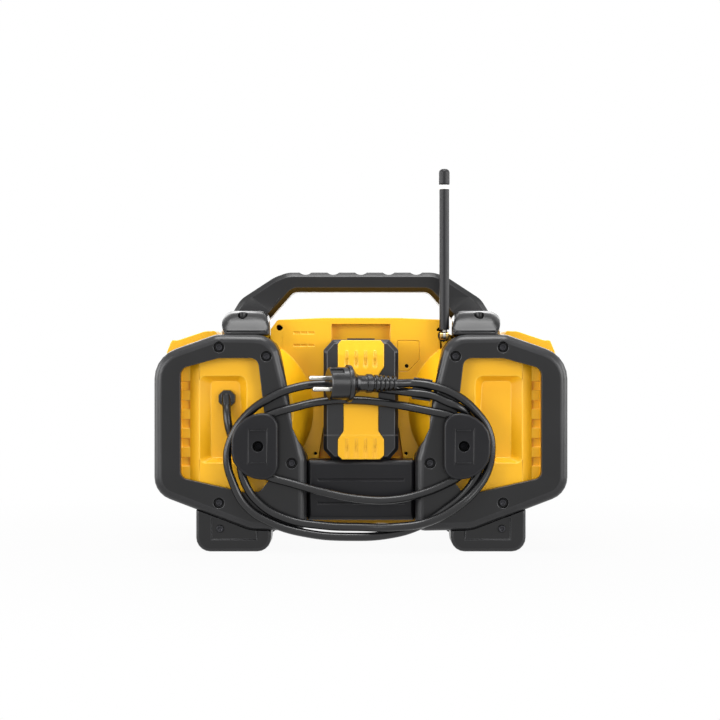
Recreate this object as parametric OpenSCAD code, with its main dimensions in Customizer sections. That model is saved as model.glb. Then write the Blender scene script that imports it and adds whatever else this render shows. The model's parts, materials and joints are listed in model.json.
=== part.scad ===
// Jobsite radio: yellow two-shell housing in black corner bumpers, with a carry handle, a slide-on battery,
// a folding antenna and a mains lead wound on two hooks. Millimetres, +Z up, controls face -Y, battery +Y.

/* [Overall] */
// Width across the bumpers
radio_w = 440; // [420:1:540]
// Height of the housing's top deck above the ground
deck_h = 248; // [244:1:300]
// Height of the handle's top above the deck
handle_rise = 54; // [48:1:90]
// Depth of the housing in front of its middle plane, to the speaker walls
front_depth = 112; // [100:1:140]
// Depth of the housing behind its middle plane, to the rear centre face
rear_depth = 62; // [56:1:80]

/* [Housing] */
// Wall of the housing shells
wall = 3; // [2:0.1:4]
// How far the two rear side pods stand behind the centre face
pod_rise = 42; // [38:1:50]
// Depth of the dished recess in each rear pod
dish_depth = 9; // [6:1:12]
// How far the control face lies behind the speaker walls
centre_recess = 11; // [8:1:16]

/* [Bumpers and feet] */
// Thickness of a bumper's outer wall
bumper_wall = 10; // [8:0.5:14]
// Thickness of a bumper's face over the housing
bumper_face = 12; // [9:0.5:16]
// Bevel round a bumper's face
bumper_bevel = 9; // [5:0.5:10]
// Height of a bumper's lowest edge above the ground
bumper_base = 22; // [18:1:30]
// Depth of a foot from front to rear
foot_depth = 38; // [30:1:46]

/* [Handle] */
// Depth of the handle's grip from front to rear
grip_depth = 38; // [28:1:44]
// Height of the handle's grip bar
grip_t = 22; // [18:1:28]
// Number of scallops on the grip's top
scallops = 5; // [3:2:7]

/* [Cord storage] */
// Diameter of the mains cord
cord_d = 9; // [7:0.1:9.5]
// Thickness of a hook's plate
hook_plate_t = 6; // [4:0.5:8]
// Room for the cord between the bumper's face and a hook's plate
hook_gap = 10; // [10:0.5:14]

/* [Battery] */
// Width of the battery pack
battery_w = 80; // [70:1:96]
// Height of the battery pack
battery_h = 128.5; // [118:0.5:135]
// Depth of the pack behind the centre face
battery_d = 44; // [42:0.5:44]
// Wall of the pack's case
case_wall = 2.5; // [2:0.1:2.6]
// Diameter of a battery cell
cell_d = 18; // [16:0.1:18]

/* [Antenna] */
// Diameter of the antenna's rubber sleeve
mast_d = 10.6; // [8:0.1:12]
// Length from the antenna's fold pin to its tip
antenna_l = 180.5; // [120:1:220]

/* [Speakers] */
// Diameter of a speaker's mounting flange
speaker_d = 92; // [80:1:98]
// Depth of a speaker behind its flange
speaker_depth = 50; // [40:1:60]
// Spacing of the holes in a grille
grille_pitch = 9; // [8:0.5:12]

/* [Controls] */
// Diameter of a knob
knob_d = 34; // [26:1:38]
// Travel of a push button
button_travel = 1.5; // [0.8:0.1:2]
// Width of the display's window
display_w = 84; // [60:1:96]
// Height of the display's window
display_h = 40; // [30:1:46]

/* [Fits] */
// Gap between pieces that are seated against each other
gap = 0.3; // [0.2:0.05:0.4]
// Radial running clearance of a pin in its bore
run = 0.05; // [0.03:0.01:0.08]

/* [Hidden] */
$fn = 48;
tiny = 0.01;
half_w = radio_w / 2;
handle_h = deck_h + handle_rise;

// Colours
yellow = "#F5B914";
black = "#2B2B2D";
rubber = "#363638";
steel = "#B9BBBE";
brass = "#C9A45C";
board_green = "#2E6B45";

// ---- Planes from front (-Y) to rear (+Y)
front_face_y = -front_depth;                             // speaker walls of the front housing
centre_front_y = front_face_y + centre_recess;           // control face of the front housing
grille_t = 2.5;
flange_t = 3;                                            // mounting flange of a speaker
grille_y = front_face_y - flange_t - 2.5;                // rear side of a grille
front_bumper_y = grille_y - grille_t - bumper_face;      // foremost face of the front bumpers
front_wrap_y = -80;                                      // rear edge of the front bumpers
rear_pod_y = rear_depth + pod_rise;                      // rear face of the side pods
rear_bumper_y = rear_pod_y + bumper_face;                // rear face of the rear bumpers
hook_y = rear_bumper_y + hook_gap;                       // inner face of a hook's plate

// ---- Outlines in the XZ plane, for the +X side. A vertex is [x, z, corner radius].
ring_top = deck_h - 17;
panel_w = 115;
toe_x = panel_w / 2 + gap;
ring_points = [
    [toe_x, bumper_base, 10], [toe_x + 60, bumper_base + 1, 40], [half_w, bumper_base + 40, 25],
    [half_w, ring_top - 23, 34], [half_w - 65, ring_top, 20], [89, ring_top, 27], [74, 132, 15],
    [toe_x, 100, 12]
];
window_points = [
    [half_w - 28.5, ring_top - 36, 9], [half_w - 69, ring_top - 25, 14], [109.4, ring_top - 25, 9],
    [94.8, bumper_base + 58, 5], [107, bumper_base + 42.5, 6], [121, bumper_base + 41, 10],
    [half_w - 28.5, bumper_base + 57, 8]
];
rail_in = 99;
rail_w = 53;
rail_out = rail_in + rail_w;
rail_h = 26;
shoulder_z = deck_h - 7;
core_side = half_w - 8;
core_points = [
    [84, deck_h, 6], [rail_in - 1, ring_top, 4], [rail_out + 3, ring_top, 2], [rail_out + 8, shoulder_z, 5],
    [half_w - 50, shoulder_z, 16], [half_w - 15, deck_h - 19, 14], [core_side, deck_h - 36, 12],
    [core_side, 78, 14], [half_w - 26, 56, 14], [150, 40, 16], [118, 31, 20]
];
hook_points = [[87.3, 148, 15], [133, 148, 28], [133, 78, 28], [87.3, 78, 15]];
hook_x = 108.5;
hook_z = 113;
// A dished recess: its rim in the pod's face and its floor
step_x = half_w - 47.8;                                  // where a pod's face slopes down to its vents
step_run = 10.8;
step_depth = 6;
dish_rim = [[step_x, ring_top - 43.8, 6], [122, ring_top - 43.8, 8], [121.5, 94, 8], [step_x, 94, 6]];
dish_floor = [
    [step_x - 11.4, ring_top - 49.5, 4], [130, ring_top - 49.5, 5], [125, 99.5, 5], [step_x - 11.4, 99.5, 4]
];

// Rounds the corners of a list of [x, y, radius] vertices with arcs of n steps
function unit(v) = v / norm(v);
function flat(v) = [v[0], v[1]];
function corner(a, b, c, r, n) =
    let (u = unit(a - b), v = unit(c - b), half = acos(max(-1, min(1, u * v))) / 2,
         p = b + u * r / tan(half), q = b + v * r / tan(half),
         m = b + unit(u + v) * r / sin(half),
         start = atan2(p[1] - m[1], p[0] - m[0]),
         turn = (atan2(q[1] - m[1], q[0] - m[0]) - start + 540) % 360 - 180)
    [for (i = [0:n]) m + r * [cos(start + turn * i / n), sin(start + turn * i / n)]];
function rounded(v, n = 5) =
    let (count = len(v))
    [for (i = [0:count - 1])
        let (a = flat(v[(i + count - 1) % count]), b = flat(v[i]), c = flat(v[(i + 1) % count]))
        each (v[i][2] > 0 ? corner(a, b, c, v[i][2], n) : [b])];
function mirrored(v) = [for (p = v) [-p[0], p[1], p[2]]];
function backwards(v) = [for (i = [len(v) - 1:-1:0]) v[i]];
function rectangle(w, h, r = 0) =
    [for (c = [[-1, -1], [1, -1], [1, 1], [-1, 1]]) [c[0] * w / 2, c[1] * h / 2, r]];
function at(v, x, z) = [for (p = v) [p[0] + x, p[1] + z, p[2]]];

// Extrudes a 2-D outline in the XZ plane from y0 to y1
module slab(y0, y1) translate([0, y1, 0]) rotate([90, 0, 0]) linear_extrude(y1 - y0) children();
module outline(v, grow = 0) if (grow == 0) polygon(rounded(v)); else offset(delta = grow) polygon(rounded(v));
module grown(v, grow, y0, y1) slab(y0, y1) outline(v, grow);
// A slab whose outline is bevelled by c towards y1
module bevelled(v, y0, y1, c) hull() {
    grown(v, 0, y0, y1 - c);
    grown(v, -c, y0, y1);
}
module along_y(x, z, y0, y1, r, r2 = -1)
    translate([x, y0, z]) rotate([-90, 0, 0]) cylinder(h = y1 - y0, r1 = r, r2 = r2 < 0 ? r : r2);
module along_x(half, y, z, r) translate([-half, y, z]) rotate([0, 90, 0]) cylinder(h = 2 * half, r = r);
// A plate of w by h about [x, z]
module plate(y0, y1, x, z, w, h) slab(y0, y1) translate([x, z]) square([w, h], center = true);
module both_sides() { children(); mirror([1, 0, 0]) children(); }
// The +X side as drawn, or mirrored for the -X side
module side(s) mirror([s < 0 ? 1 : 0, 0, 0]) children();

// ---- Housing
pod_x = 132;                                             // centre of a pod's round swell
pod_z = 150;
swell_r = 80;
post_positions = [[85, deck_h - 9], [70, 60]];           // long housing screws, mirrored about x = 0
ring_screws = [[half_w - 69.3, ring_top - 13.5], [100.4, ring_top - 23], [half_w - 69.3, 52.4], [73.5, 94.6]];
speaker_x = (half_w + 70) / 2;
speaker_z = (ring_top + bumper_base + 41) / 2 - 10;
centre_front_points = [[97, 36, 6], [97, shoulder_z, 8], [-97, shoulder_z, 8], [-97, 36, 6]];

base_z = 26;                                             // underside of the housing
crown = 2;                                               // rise of the deck's middle
// The housing's outer form, moved inwards by g (outwards when negative)
module housing_form(g = 0) {
    slab(front_wrap_y + g, rear_depth - g) offset(delta = -g) {
        outline(core_points);
        mirror([1, 0]) outline(core_points);
        translate([-118, base_z + 5]) square([236, 60]);
        polygon([
            [-90, base_z], [90, base_z], [86, deck_h - crown], [84, deck_h - tiny],
            [40, deck_h + crown], [-40, deck_h + crown], [-84, deck_h - tiny], [-86, deck_h - crown]
        ]);
    }
    slab(centre_front_y + g, 0) outline(centre_front_points, -g);
    both_sides() {
        grown(ring_points, -bumper_wall - g, 0, rear_pod_y - g);
        grown(ring_points, -bumper_wall - g, front_face_y + g, 0);
        along_y(pod_x, pod_z, 0, rear_depth, swell_r - g);
        along_y(pod_x, pod_z, rear_depth - tiny, rear_pod_y - g, swell_r - g, swell_r - 20 - g);
    }
}

// Rear details
bay_z = 97;
channel_w = 64;
channel_top = deck_h - 5;
channel_depth = 12;
door_x = -51.5;
door_z = deck_h - 39.5;
door_points = [[-11.8, 16.5, 2], [11.8, 16.5, 2], [11.8, -16.5, 0], [0, -16.5, 0], [-11.8, -4, 0]];
door_t = 2.5;
coin_r = 10;
gland_x = 143.4;
gland_z = 162.7;
knuckle_x = -90.2;
knuckle_z = deck_h - 17.7;
dish_y = rear_pod_y - dish_depth;
bay_screw = [49.4, 102];
boss_r = 5.5;
panel_z0 = 33;

module half_space(from_y, to_y) translate([-half_w, from_y, 0]) cube([radio_w, to_y - from_y, deck_h + 60]);
// Closed tubes inside a shell that take the screws
module screw_bosses(points, y0, y1) both_sides() for (p = points) along_y(p[0], p[1], y0, y1, boss_r);
module screw_bores(points, y0, y1, r) both_sides() for (p = points) along_y(p[0], p[1], y0, y1, r);

post_head_y = 30;
ring_screw_y = rear_bumper_y - 6;                        // seat of a bumper screw's head
ring_screw_l = 24;

module rear_housing() color(yellow) difference() {
    union() {
        difference() {
            housing_form();
            housing_form(wall);
            half_space(-300, 0);
        }
        intersection() {
            union() {
                screw_bosses(post_positions, 0, rear_depth - 1);
                screw_bosses(ring_screws, ring_screw_y - ring_screw_l - 2, rear_pod_y - 1);
                screw_bosses([[hook_x, hook_z]], rear_pod_y - 24, rear_pod_y - 1);
                both_sides() grown(dish_rim, wall, dish_y - wall, rear_pod_y - 1);
                both_sides() slab(rear_pod_y - step_depth - 2 * wall, rear_pod_y - 1)
                    translate([step_x - wall, 66]) square([32, 146]);
                slab(rear_depth - channel_depth - wall, rear_depth - 1)
                    translate([-channel_w / 2 - wall, bay_z - wall])
                        square([channel_w + 2 * wall, channel_top - bay_z + 2 * wall]);
                slab(rear_depth - 15, rear_depth - 1) translate([-53, bay_z - wall]) square([106, 40]);
                plate(rear_depth - 9, rear_depth - 1, door_x, door_z, 28, 38);
                along_y(gland_x, gland_z, dish_y - 8, dish_y, 10);
                along_y(knuckle_x, knuckle_z, rear_depth - 14, rear_depth - 1, 8);
            }
            housing_form(1);
        }
    }
    // battery channel and the flared pocket under the pack
    slab(rear_depth - channel_depth, rear_depth + 1)
        translate([-channel_w / 2, bay_z]) square([channel_w, channel_top - bay_z]);
    slab(rear_depth - 9, rear_depth + 1)
        polygon([[-46, bay_z], [46, bay_z], [half_b + 1, bay_z + 33], [-half_b - 1, bay_z + 33]]);
    // dished recess in each pod
    both_sides() hull() {
        grown(dish_rim, 0, rear_pod_y, rear_pod_y + 1);
        grown(dish_floor, 0, dish_y, dish_y + 1);
    }
    // sloping step to the vents at the pods' outer edges, and vents in the deck's rear face
    both_sides() hull() {
        slab(rear_pod_y, rear_pod_y + 1) translate([step_x, 68]) square([step_run + 11, 142]);
        slab(rear_pod_y - step_depth, rear_pod_y) translate([step_x + step_run, 68]) square([11, 142]);
    }
    both_sides() for (i = [0:4])
        translate([half_w - 37, rear_pod_y - step_depth - 2.5, 90.5 + 20.3 * i]) cube([9.5, 4, 9.5]);
    for (row = [0, 1], i = [0:2])
        translate([51 + 8 * i, rear_depth - 1.4, deck_h - 29 + 13.5 * row]) cube([6.5, 2, 2.2]);
    // coin cell hatch
    slab(rear_depth - door_t, rear_depth + 1)
        offset(delta = gap) translate([door_x, door_z]) outline(door_points);
    along_y(door_x, door_z + 3, rear_depth - door_t - 4, rear_depth, coin_r + gap);
    along_y(door_x + 1.7, door_z - 11, rear_depth - 8, rear_depth, 1.1);
    // screw bores
    screw_bores(post_positions, post_head_y, rear_depth + 1, 3.8);
    screw_bores(post_positions, -1, rear_depth, 2.1);
    screw_bores(ring_screws, ring_screw_y - ring_screw_l - 1, rear_bumper_y, 2.1);
    screw_bores([[hook_x, hook_z]], rear_pod_y - 22, rear_pod_y + 1, 2.1);
    screw_bores([bay_screw], rear_depth - 4, rear_depth + 1, 1.8);
    screw_bores([bay_screw], rear_depth - 11, rear_depth, 1.1);
    // gland seat and antenna socket
    along_y(gland_x, gland_z, dish_y - 12, dish_y + 1, 7);
    along_y(knuckle_x, knuckle_z, rear_depth - 12, rear_depth + 1, 6);
}

front_panel_half = panel_w / 2 - 2;
front_panel_points = [
    [front_panel_half, 101, 4], [71.2, 131, 15], [83, deck_h - 34, 14], [70, deck_h - 12, 10],
    [-70, deck_h - 12, 10], [-83, deck_h - 34, 14], [-71.2, 131, 15], [-front_panel_half, 101, 4]
];
lower_panel_points = at(rectangle(2 * front_panel_half, 85, 5), 0, 82.5);
module front_housing() color(yellow) difference() {
    union() {
        difference() {
            housing_form();
            housing_form(wall);
            half_space(-tiny, 300);
        }
        intersection() {
            union() {
                screw_bosses(post_positions, -24, 0);
                screw_bosses(ring_screws, front_face_y + 1, front_face_y + 26);
                for (x = [-62, 62], z = [112, 200]) along_y(x, z, centre_front_y + 1, centre_front_y + 16, 4);
            }
            housing_form(1);
        }
    }
    both_sides() along_y(speaker_x, speaker_z, front_face_y - 1, front_face_y + wall + 1, speaker_d / 2 - 5);
    slab(centre_front_y - 1, centre_front_y + wall + 1) translate([-50, 46]) square([100, 178]);
    screw_bores(post_positions, -22, 1, 1.9);
    screw_bores(ring_screws, front_face_y - 1, front_face_y + 24, 2.1);
    for (x = [-62, 62], z = [112, 200]) along_y(x, z, centre_front_y + 6, centre_front_y + 17, 1.3);
}

// ---- Bumpers
foot_points = [[95.5, 0, 15], [175.5, 0, 15], [175.5, 60, 0], [95.5, 60, 0]];
lug_points = [[118, 8], [154, 8], [154, 60], [118, 60]];
foot_screw = [150, 24.3];
foot_rear_y = rear_bumper_y - 6;
foot_front_y = front_bumper_y + 6;
screw_sink_r = 5.6;

// One bumper ring drawn for +X with its face towards +Y; the caller mirrors it
module bumper(face_y, wrap_y, screws) difference() {
    union() {
        difference() {
            bevelled(ring_points, wrap_y, face_y, bumper_bevel);
            slab(wrap_y - 1, face_y + 1) polygon([
                [toe_x - 1, 101], [toe_x, 100.4], [68, 117.5], [73.2, 130.5], [86, 222], [toe_x - 1, 222]
            ]);
        }
        slab(face_y - 34, face_y - 16) polygon(lug_points);
    }
    grown(window_points, 0, wrap_y - 1, face_y + 1);
    for (p = screws) {
        along_y(p[0], p[1], face_y - 6, face_y + 1, screw_sink_r);
        along_y(p[0], p[1], wrap_y, face_y, 2.1);
    }
    along_y(foot_screw[0], foot_screw[1], face_y - 40, face_y, 2.1);
}
module rear_bumper(s) side(s) color(rubber) difference() {
    bumper(rear_bumper_y, rear_depth + gap, ring_screws);
    housing_form(-gap);
    slab(rear_depth, rear_pod_y + 4) translate([-panel_w / 2 - gap, base_z]) square([panel_w + 2 * gap, 74]);
}
module front_bumper(s) side(s) color(rubber) difference() {
    mirror([0, 1, 0]) bumper(-front_bumper_y, -front_wrap_y + gap, ring_screws);
    housing_form(-gap);
    grown(window_points, 5 + gap, grille_y - grille_t - gap, front_face_y + 1);
    along_y(speaker_x, speaker_z, grille_y, front_face_y + 1, speaker_d / 2 + gap);
}
module foot(s, rear) side(s) mirror([0, rear ? 0 : 1, 0]) color(rubber) {
    face = rear ? foot_rear_y : -foot_front_y;
    ring_face = rear ? rear_bumper_y : -front_bumper_y;
    difference() {
        bevelled(foot_points, face - foot_depth, face, 3.5);
        slab(face - foot_depth - 1, face + 1) offset(delta = gap) outline(ring_points);
        slab(ring_face - 34 - gap, ring_face - 16 + gap) offset(delta = gap) polygon(lug_points);
        slab(face - 2.5, face + 1) translate([111, 13]) square([48, 23]);
        along_y(foot_screw[0], foot_screw[1], face - foot_depth - 1, face + 1, 2.1);
    }
}
rail_rear_y = rear_bumper_y - 18;
rail_front_y = front_bumper_y + 20;
rail_z = ring_top + gap;
rail_slope = 32;
handle_y = -4;
leg_z = rail_z + 13;
rail_top = rail_z + rail_h;
// A rail's stations from rear to front: [y, drop of its top, inset of its inner side]
rail_stations = [
    [rail_rear_y - 1, 11, 0], [rail_rear_y - 3, 8, 0], [rail_rear_y - 9, 4.5, 0], [rail_rear_y - 19, 1.6, 0],
    [rail_rear_y - rail_slope, 0, 0], [handle_y - grip_depth / 2, 0, 4], [rail_front_y + rail_slope, 0, 9],
    [rail_front_y + 9, 4.5, 11], [rail_front_y + 3, 8, 12], [rail_front_y, 11, 12]
];
module rail_section(drop, inset)
    let (in = drop * 0.4, x0 = rail_in + inset + in, x1 = rail_out - in, top = rail_top - drop)
    polygon(rounded([[x0, rail_z, 0], [x1, rail_z, 0], [x1, top, 10 - in], [x0, top, 10 - in]]));
leg_in = 106;
leg_out = 143.5;
leg_flare = 7;                                           // how much deeper a leg is where it enters its rail
grip_y0 = handle_y - grip_depth / 2;
grip_y1 = handle_y + grip_depth / 2;
grip_bevel = 5;
handle_half = [
    [leg_out, leg_z, 0], [leg_out, handle_h - 45, 6], [134.5, handle_h - 30, 26], [97, handle_h - 5.5, 40],
    [82, handle_h, 30]
];
handle_points = concat(handle_half, backwards(mirrored(handle_half)));
gap_half = [[leg_in, leg_z - 5, 0], [leg_in, leg_z + 1, 4], [75, handle_h - grip_t, 10]];
handle_gap_points = concat(gap_half, backwards(mirrored(gap_half)));
module leg_outline(top) intersection() {
    outline(handle_points, -grip_bevel);
    translate([leg_in - grip_bevel, leg_z]) square([60, top - leg_z]);
}
// The pocket in a rail that takes a leg
module leg_pocket() slab(grip_y0 - leg_flare - gap, grip_y1 + leg_flare + gap) offset(delta = gap) difference() {
    outline(handle_points);
    translate([0, gap]) outline(handle_gap_points);
    translate([0, leg_z - 1]) square([half_w, 1 + gap]);
}
module handle_form() {
    hull() {
        grown(handle_points, 0, grip_y0 + grip_bevel, grip_y1 - grip_bevel);
        slab(grip_y0, grip_y1) {
            outline(handle_points, -grip_bevel);
            translate([-leg_out + grip_bevel, leg_z]) square([2 * (leg_out - grip_bevel), grip_bevel]);
        }
    }
    both_sides() hull() {
        slab(grip_y0 - leg_flare, grip_y1 + leg_flare) leg_outline(rail_top);
        slab(grip_y0, grip_y1) leg_outline(rail_top + 17);
    }
}
module top_rail(s) side(s) color(rubber) difference() {
    hull() for (s = rail_stations) slab(s[0], s[0] + 1) rail_section(s[1], s[2]);
    leg_pocket();
    for (y = [rail_front_y + 16, rail_rear_y - 16]) translate([(rail_in + rail_out) / 2 + 3, y, 0]) {
        translate([0, 0, rail_top - 12]) cylinder(h = 20, r = 6.4);
        translate([0, 0, rail_z - 1]) cylinder(h = 30, r = 2.6);
    }
}
module handle() color(rubber) difference() {
    handle_form();
    grown(handle_gap_points, 0, grip_y0 - leg_flare - 1, grip_y1 + leg_flare + 1);
    for (s = [0, 1]) mirror([0, s, 0]) hull() {
        face = s == 0 ? grip_y1 : -grip_y0;
        grown(handle_gap_points, 0, face - grip_bevel, face + leg_flare + 1);
        grown(handle_gap_points, grip_bevel, face, face + leg_flare + 1);
    }
    for (i = [0:scallops - 1])
        along_y((i - (scallops - 1) / 2) * 31, handle_h + 7, grip_y0 - 1, grip_y1 + 1, 9.6);
}

// ---- Rear panel under the battery
panel_face_y = rear_pod_y;
lower_rear_points = at(rectangle(panel_w, bay_z - panel_z0, 3), 0, (bay_z + panel_z0) / 2);
module lower_rear_panel() color(black) difference() {
    bevelled(lower_rear_points, rear_depth, panel_face_y, 4);
    slab(rear_depth - 1, panel_face_y - 4)
        translate([-panel_w / 2 + 4, panel_z0 + 4]) square([panel_w - 8, bay_z - panel_z0 - 8]);
    for (z = [50, 75]) slab(panel_face_y - 1.2, panel_face_y + 1) translate([-46, z]) square([92, 2.2]);
}

// ---- Cord storage
module hook(s) side(s) color(black) difference() {
    union() {
        bevelled(hook_points, hook_y, hook_y + hook_plate_t, 1.5);
        slab(rear_pod_y, hook_y + 1)
            hull() for (z = [-6, 6]) translate([hook_x, hook_z + z]) circle(r = 7.5, $fn = 32);
    }
    along_y(hook_x, hook_z, hook_y - 5, hook_y + hook_plate_t + 1, 5.6);
    along_y(hook_x, hook_z, rear_pod_y - 1, hook_y, 2.1);
    hull() {
        plate(hook_y + hook_plate_t, hook_y + hook_plate_t + 1, hook_x, hook_z, 20, 37);
        plate(hook_y + hook_plate_t - 1, hook_y + hook_plate_t, hook_x, hook_z, 18.5, 33);
    }
}
// A pan head screw along +Y: its head's underside at y, its shank towards -Y
module screw(x, y, z, head_r, head_h, shank_r, shank_l) color(steel) difference() {
    union() {
        along_y(x, z, y, y + head_h, head_r, head_r * 0.85);
        along_y(x, z, y - shank_l, y + tiny, shank_r);
    }
    translate([x, y + head_h - 1.6, z]) rotate([-90, 0, 0]) cylinder(h = 3, r = head_r * 0.5, $fn = 6);
}
module cord_hook_screws() both_sides() screw(hook_x, hook_y - 5, hook_z, 4.6, 3, 2, 38);
module bumper_screw_set(face_y, foot_y) both_sides() {
    for (p = ring_screws) screw(p[0], face_y - 6, p[1], 4.3, 3, 2, ring_screw_l);
    screw(foot_screw[0], foot_y - 2.5, foot_screw[1], 4.3, 3, 2, 30);
}
module rear_bumper_screws() bumper_screw_set(rear_bumper_y, foot_rear_y);
module front_bumper_screws() mirror([0, 1, 0]) bumper_screw_set(-front_bumper_y, -foot_front_y);
module housing_screws() both_sides()
    for (p = post_positions) screw(p[0], post_head_y, p[1], 3.5, 3, 1.85, post_head_y + 20);
module small_screws() {
    both_sides() screw(bay_screw[0], rear_depth - 4 + gap, bay_screw[1], 1.6, 1.4, 1, 5);
    screw(door_x + 1.7, rear_depth - 1.4, door_z - 11, 1.9, 1.2, 1, 6);
}

// ---- Battery
pack_z = bay_z + gap;
pack_y = rear_depth + 0.6;
pack_face_y = pack_y + battery_d - 2;
half_b = battery_w / 2;
pack_points = [
    [-half_b + 10, 0, 2], [half_b - 10, 0, 2], [half_b, 11, 3], [half_b, battery_h - 11, 3],
    [half_b - 10, battery_h, 2], [-half_b + 10, battery_h, 2], [-half_b, battery_h - 11, 3], [-half_b, 11, 3]
];
cover_half = [
    [20, 0.6, 0], [24.6, 5, 0], [24.6, 22, 0], [18.5, 31, 0], [18.5, battery_h - 38, 0],
    [24.6, battery_h - 29, 0], [24.6, battery_h - 5, 0], [20.8, battery_h - 0.6, 0]
];
cover_points = [for (p = concat(cover_half, backwards(mirrored(cover_half)))) flat(p)];
blade_x = [-18, 0, 18];
tongue_w = channel_w - 3;
tongue_h = 84;
tongue_y = rear_depth - channel_depth + 2;
latch_travel = 3;
latch_y = pack_y + 12;
module battery_case() color(black) translate([0, 0, pack_z]) difference() {
    union() {
        bevelled(pack_points, pack_y, pack_face_y, 4);
        slab(tongue_y, pack_y + 1) translate([-tongue_w / 2, 8]) square([tongue_w, tongue_h]);
    }
    slab(pack_y + case_wall, pack_face_y - case_wall) outline(pack_points, -case_wall);
    slab(pack_face_y - case_wall + 1, pack_face_y + 1) offset(delta = gap) polygon(cover_points);
    for (x = blade_x) translate([x - 1.2, tongue_y - 1, 7]) cube([2.4, 12, 36]);
    translate([-15 - gap, latch_y - 6 - gap, battery_h - case_wall - 1])
        cube([30 + 2 * gap, 12 + 2 * gap, case_wall + 2]);
}
rib_x = [-15, -5, 5, 15];
module battery_cover() color(yellow) translate([0, 0, pack_z]) {
    slab(pack_face_y - case_wall + 1, pack_face_y + 1.5) polygon(cover_points);
    slab(pack_face_y + 1.4, pack_face_y + 2)
        for (x = rib_x, z = [9, battery_h - 26]) translate([x - 1, z]) square([2, 14]);
}
module battery_latch() color(black) translate([0, latch_y, pack_z + battery_h]) {
    translate([-15, -6, -case_wall]) cube([30, 12, case_wall + 1.6]);
    translate([-17, -8, -case_wall - 2.2]) cube([34, 16, 2]);
}
cell_l = 65;
cell_pitch = cell_d + gap;
module battery_cells() color(steel)
    translate([-cell_l / 2, pack_y + case_wall + gap + cell_d / 2, pack_z + case_wall + 6 + cell_d / 2])
        for (layer = [0, 1], i = [0:4])
            translate([0, layer * cell_pitch, i * cell_pitch])
                rotate([0, 90, 0]) cylinder(h = cell_l, d = cell_d);
module bay_terminal_block() color(black) {
    translate([-25, rear_depth - channel_depth, bay_z]) cube([50, channel_depth - 2, 6]);
    color(brass) for (x = blade_x) translate([x - 0.5, tongue_y + 2, bay_z + 6 - tiny]) cube([1, 6, 22]);
}

// ---- Coin cell hatch
module coin_cell_door() color(yellow) difference() {
    slab(rear_depth - door_t, rear_depth) translate([door_x, door_z]) outline(door_points);
    along_y(door_x + 1.7, door_z - 11, rear_depth - door_t - 1, rear_depth - 1.4, 1.2);
    along_y(door_x + 1.7, door_z - 11, rear_depth - 1.4, rear_depth + 1, 2.1);
}
module coin_cell() color(steel)
    along_y(door_x, door_z + 3, rear_depth - door_t - 4, rear_depth - door_t - gap, coin_r);

// ---- Antenna
fold_y = rear_depth + 14;
ear_in = 1.8;
pin_r = 1.2;
mast_z0 = 6.5;
module antenna_base() color(black) difference() {
    along_y(knuckle_x, knuckle_z, rear_depth - 12, rear_depth + 2, 6 - gap / 2);
    along_y(knuckle_x, knuckle_z, rear_depth - 9, rear_depth + 3, 3 + run);
}
module antenna_knuckle() color(brass) {
    fold_pin();
    difference() {
        union() {
            along_y(knuckle_x, knuckle_z, rear_depth - 8.5, rear_depth + 5, 3);
            along_y(knuckle_x, knuckle_z, rear_depth + 2 + gap, rear_depth + 8, 4.6);
            for (x = [-4.4, ear_in]) translate([knuckle_x + x, fold_y, knuckle_z]) {
                rotate([0, 90, 0]) cylinder(h = 2.6, r = 4.4);
                translate([0, rear_depth + 6 - fold_y, -3.5]) cube([2.6, fold_y - rear_depth - 6, 7]);
            }
        }
        translate([knuckle_x - 1.8, fold_y - 5.4, knuckle_z - 6]) cube([3.6, 12, 12]);
    }
}
module fold_pin()
    translate([knuckle_x - 5, fold_y, knuckle_z]) rotate([0, 90, 0]) cylinder(h = 10, r = pin_r);
module antenna_rod() color(brass) difference() {
    union() {
        translate([knuckle_x - 1.5, fold_y, knuckle_z]) rotate([0, 90, 0]) cylinder(h = 3, r = 4.2);
        translate([knuckle_x - 1.5, fold_y - 2, knuckle_z]) cube([3, 4, mast_z0]);
        translate([knuckle_x, fold_y, knuckle_z + mast_z0 - 1])
            cylinder(h = antenna_l - mast_z0 - 12, r = 1.6);
    }
    translate([knuckle_x - 3, fold_y, knuckle_z]) rotate([0, 90, 0]) cylinder(h = 6, r = pin_r + run);
}
module antenna_sleeve() color(rubber) translate([knuckle_x, fold_y, knuckle_z]) difference() {
    translate([0, 0, mast_z0]) cylinder(h = antenna_l - mast_z0 - 17, d = mast_d);
    translate([0, 0, mast_z0 - 1]) cylinder(h = antenna_l, r = 1.6 + run);
}
module antenna_cap() color(rubber) translate([knuckle_x, fold_y, knuckle_z + antenna_l]) difference() {
    rotate_extrude()
        polygon(rounded([[0, 0, 0], [0, -17, 0], [mast_d / 2 + 0.5, -17, 1], [mast_d / 2 + 0.5, 0, 4]]));
    translate([0, 0, -18]) cylinder(h = 6.5, r = 1.6 + run);
}

// ---- Mains lead
cord_r = cord_d / 2;
plug_l = 73;
plug_tilt = 16;
plug_roll = -37;
plug_face = [33.9, 144.5, 179.4];
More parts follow.
